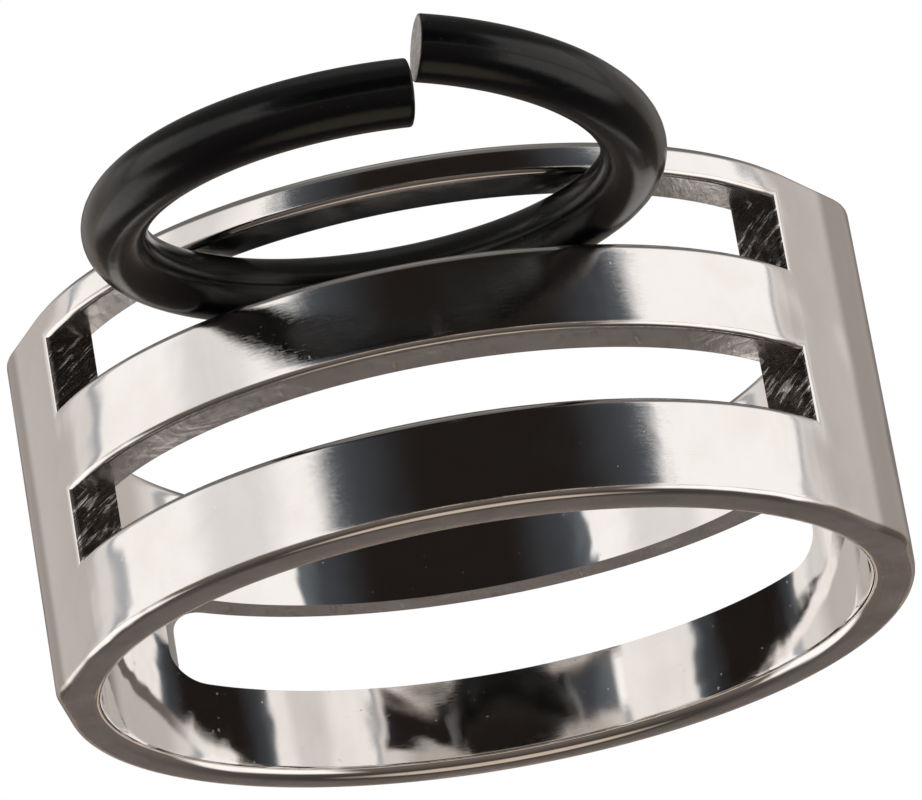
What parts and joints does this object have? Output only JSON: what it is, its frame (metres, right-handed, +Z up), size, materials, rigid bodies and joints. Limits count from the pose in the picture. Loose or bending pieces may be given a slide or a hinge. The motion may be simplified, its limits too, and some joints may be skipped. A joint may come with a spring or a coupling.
{
  "type": "jump ring opener finger ring",
  "caption": "Slotted metal finger ring used to open jump rings, with a split jump ring held in its front slot.",
  "frame": {"origin": "centre of the finger hole in the plane of the lower rim, on which the ring stands", "axes": "+Z up along the finger hole; -Y out of the slotted front, where the jump ring is; +X to the right seen from the front"},
  "size_m": [0.021, 0.0307, 0.0089],
  "materials": {
    "polished_metal": "polished",
    "black_coated_wire": "gloss black plating over steel wire"
  },
  "bodies": {
    "finger_ring": {"slotted_ring": "polished_metal"},
    "jump_ring": {"jump_ring_held_arc": "black_coated_wire"},
    "jump_ring_arm": {"jump_ring_free_arm": "black_coated_wire"}
  },
  "joints": [
    {"name": "jump_ring_slide", "type": "slide", "parent": "finger_ring", "child": "jump_ring", "axis": [0, -1, 0], "range_m": [0, 0.0056]},
    {"name": "jump_ring_twist", "type": "hinge", "parent": "jump_ring", "child": "jump_ring_arm", "pos_m": [0.00559, -0.01102, 0.0072], "axis": [-0.3843, 0.9231, 0.0161], "range_deg": [-9.1, 12]}
  ]
}
